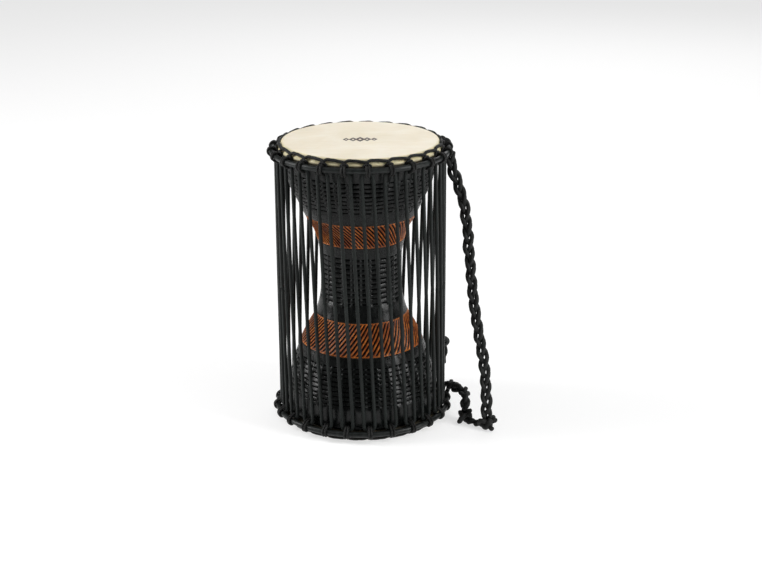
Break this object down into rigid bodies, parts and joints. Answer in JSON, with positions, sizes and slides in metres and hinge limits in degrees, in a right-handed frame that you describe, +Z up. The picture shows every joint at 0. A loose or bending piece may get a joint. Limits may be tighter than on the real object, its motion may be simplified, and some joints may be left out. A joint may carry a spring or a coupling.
{
  "type": "hourglass talking drum",
  "caption": "Double-headed hourglass drum: carved wooden shell, skins laced between two rings by upright tension cords, with a braided cord strap.",
  "frame": {"origin": "on the drum's axis, level with the lower playing face it stands on", "axes": "+Z up along the drum's axis to the upper playing face, -Y is the front, the strap is on the +X side"},
  "size_m": [0.2487, 0.2048, 0.3175],
  "materials": {
    "wood": "satin black paint over carved hardwood, with bare orange-brown carved bands",
    "skin": "bare goatskin, matt",
    "ring_metal": "satin black",
    "hoop_metal": "plain wire",
    "cord": "black braided synthetic cord",
    "strap_cord": "black twisted cotton cord"
  },
  "bodies": {
    "shell": {"shell": "wood", "upper_head": "skin", "lower_head": "skin", "tension_cord": "cord", "tie_off_knot": "cord", "strap_long": "strap_cord", "strap_short": "strap_cord", "strap_knot_long": "strap_cord", "strap_knot_short": "strap_cord", "strap_link": "strap_cord"},
    "upper_hoop": {"upper_tension_ring": "ring_metal", "upper_flesh_hoop": "hoop_metal", "upper_stitch_cord": "cord", "strap_loop_upper": "strap_cord"},
    "lower_hoop": {"lower_tension_ring": "ring_metal", "lower_flesh_hoop": "hoop_metal", "lower_stitch_cord": "cord", "strap_loop_lower": "strap_cord"}
  },
  "joints": [
    {"name": "upper_squeeze", "type": "slide", "parent": "shell", "child": "upper_hoop", "axis": [0, 0, -1], "range_m": [0, 0.003], "stiffness_N_per_m": 12000, "springref_m": -0.003, "deforming": ["upper_head", "tension_cord", "strap_long"]},
    {"name": "lower_squeeze", "type": "slide", "parent": "shell", "child": "lower_hoop", "axis": [0, 0, 1], "range_m": [0, 0.003], "stiffness_N_per_m": 12000, "springref_m": -0.003, "deforming": ["lower_head", "strap_short"]}
  ],
  "couplings": [
    {"joint": "lower_squeeze", "follows": "upper_squeeze", "ratio": 1}
  ]
}
